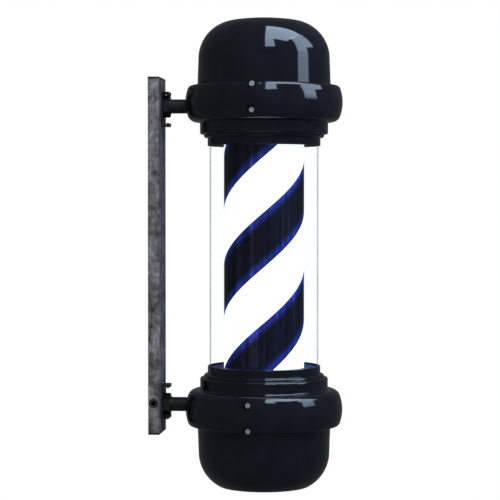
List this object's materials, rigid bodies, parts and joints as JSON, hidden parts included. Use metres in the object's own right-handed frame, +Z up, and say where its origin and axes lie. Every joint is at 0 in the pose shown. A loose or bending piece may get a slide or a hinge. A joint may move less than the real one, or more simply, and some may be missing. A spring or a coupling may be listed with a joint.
{
  "type": "wall-mounted barber pole light",
  "caption": "Wall-mounted rotating barber pole light: striped lit drum in a clear tube between glossy black domed ends, held by two pipe arms on a flat wall bar.",
  "frame": {"origin": "middle of the two wall-screw holes, on the back face of the wall bar, which is the wall's plane", "axes": "+Z up along the pole; the wall is the plane Y = 0 and the pole stands in front of it towards -Y; X runs along the wall, and the part is symmetric about X = 0 apart from the cable grommet, the stripes, the drive and the slight turn of the collars' screws"},
  "size_m": [0.2312, 0.2836, 0.6882],
  "materials": {
    "black_shell": "high-gloss moulded black plastic",
    "bar_steel": "weathered brushed steel tube with cross marks",
    "black_steel": "semi-gloss black enamel",
    "bar_cap_plastic": "matte black moulded plastic",
    "black_rubber": "moulded black rubber",
    "clear_acrylic": "clear polished acrylic tube",
    "stripe_film": "printed film, white and black helical stripes, lit from inside",
    "opal_acrylic": "white translucent acrylic",
    "white_nylon": "natural moulded nylon",
    "zinc_steel": "zinc-plated steel",
    "screw_steel": "bright nickel-plated screw heads",
    "extruded_aluminium": "mill-finish extrusion",
    "led_board": "white circuit board with light chips",
    "bearing_brass": "turned sintered brass",
    "motor_steel": "pressed plated steel",
    "grey_plastic": "fine-grained grey moulding",
    "switch_plastic": "black switch moulding"
  },
  "bodies": {
    "housing": {"back_bar": "bar_steel", "bar_top_cap": "bar_cap_plastic", "bar_bottom_cap": "bar_cap_plastic", "cable_grommet": "black_rubber", "upper_arm_clip": "black_steel", "lower_arm_clip": "black_steel", "upper_arm_pipe": "black_steel", "lower_arm_pipe": "black_steel", "arm_jam_nuts": "black_steel", "bar_square_nuts": "zinc_steel", "collar_lock_nuts": "zinc_steel", "upper_collar": "black_shell", "lower_collar": "black_shell", "upper_dome": "black_shell", "lower_dome": "black_shell", "collar_screws": "screw_steel", "dome_screws": "screw_steel", "upper_chassis_plate": "zinc_steel", "lower_chassis_plate": "zinc_steel", "upper_tube_gasket": "black_rubber", "lower_tube_gasket": "black_rubber", "clear_tube": "clear_acrylic", "light_post": "extruded_aluminium", "led_strips": "led_board", "post_end_cap": "white_nylon", "post_mount": "white_nylon", "post_mount_screws": "zinc_steel", "led_driver": "grey_plastic", "led_driver_screws": "zinc_steel", "motor_cover": "motor_steel", "motor_can": "motor_steel", "motor_bush": "bearing_brass", "motor_screws": "zinc_steel", "terminal_block": "white_nylon", "terminal_screw": "zinc_steel", "light_switch_housing": "switch_plastic", "motor_switch_housing": "switch_plastic"},
    "drum": {"stripe_film": "stripe_film", "drum_tube": "opal_acrylic", "drum_base": "white_nylon", "drum_top_ring": "white_nylon", "top_bush": "white_nylon", "drive_hub": "extruded_aluminium", "hub_screws": "zinc_steel", "hub_grub_screw": "zinc_steel", "motor_shaft": "motor_steel"},
    "light_rocker": {"light_switch_rocker": "switch_plastic"},
    "motor_rocker": {"motor_switch_rocker": "switch_plastic"}
  },
  "joints": [
    {"name": "drum_spin", "type": "hinge", "parent": "housing", "child": "drum", "pos_m": [0, -0.168, -0.1887], "axis": [0, 0, 1], "continuous": true},
    {"name": "light_switch", "type": "hinge", "parent": "housing", "child": "light_rocker", "pos_m": [-0.013, -0.168, -0.3315], "axis": [1, 0, 0], "range_deg": [-16, 0]},
    {"name": "motor_switch", "type": "hinge", "parent": "housing", "child": "motor_rocker", "pos_m": [0.013, -0.168, -0.3315], "axis": [1, 0, 0], "range_deg": [-16, 0]}
  ]
}
